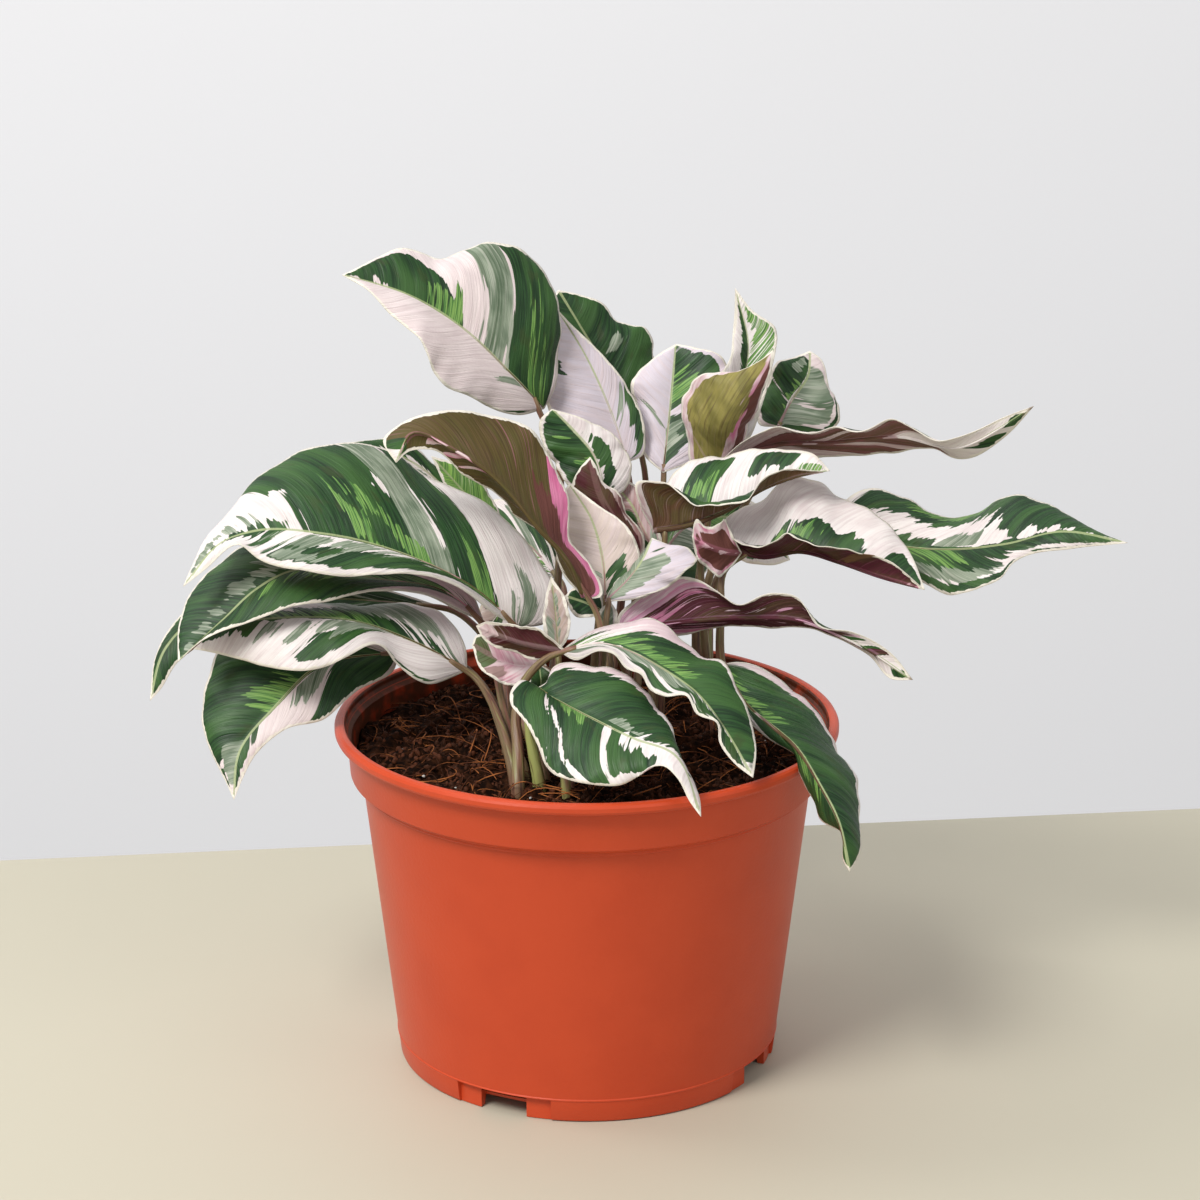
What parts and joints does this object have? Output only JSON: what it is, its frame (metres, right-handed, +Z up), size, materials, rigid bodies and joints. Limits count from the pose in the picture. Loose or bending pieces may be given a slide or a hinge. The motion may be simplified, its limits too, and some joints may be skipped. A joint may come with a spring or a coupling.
{
  "type": "potted calathea",
  "caption": "Variegated calathea house plant with broad pointed leaves on stalks, growing in soil in a tapered plastic nursery pot.",
  "frame": {"origin": "centre of the flat pad under the pot, on the surface that the pot stands on", "axes": "+Z up along the pot's axis, -Y towards the viewer of the plant's best side, +X to that viewer's right, along the plant's widest spread"},
  "size_m": [0.2923, 0.2022, 0.2425],
  "materials": {
    "pot": "satin moulded terracotta-orange plastic",
    "soil": "rough dark coir compost with loose fibres",
    "leaf": "satin living leaf, dark green patches on pinkish white with a pale edge, purple to olive beneath"
  },
  "bodies": {
    "root": {"pot": "pot", "soil": "soil", "leaf_back_left": "leaf", "leaf_back_low": "leaf", "leaf_back_middle": "leaf", "leaf_back_right": "leaf", "leaf_centre_beige": "leaf", "leaf_centre_dark": "leaf", "leaf_centre_folded": "leaf", "leaf_centre_olive": "leaf", "leaf_crown_back": "leaf", "leaf_crown_fan": "leaf", "leaf_crown_pale": "leaf", "leaf_crown_west": "leaf", "leaf_east_broad": "leaf", "leaf_east_trough": "leaf", "leaf_east_upper": "leaf", "leaf_east_wavy": "leaf", "leaf_fan_east": "leaf", "leaf_front_dark": "leaf", "leaf_front_east": "leaf", "leaf_front_long": "leaf", "leaf_front_round": "leaf", "leaf_front_small": "leaf", "leaf_left_behind": "leaf", "leaf_left_far": "leaf", "leaf_left_large": "leaf", "leaf_left_low": "leaf", "leaf_left_second": "leaf", "leaf_left_third": "leaf", "leaf_left_young": "leaf", "leaf_maroon": "leaf", "leaf_pale_oval": "leaf", "leaf_pink_flap": "leaf", "leaf_purple": "leaf", "leaf_rolled": "leaf", "leaf_spike": "leaf"}
  },
  "joints": []
}
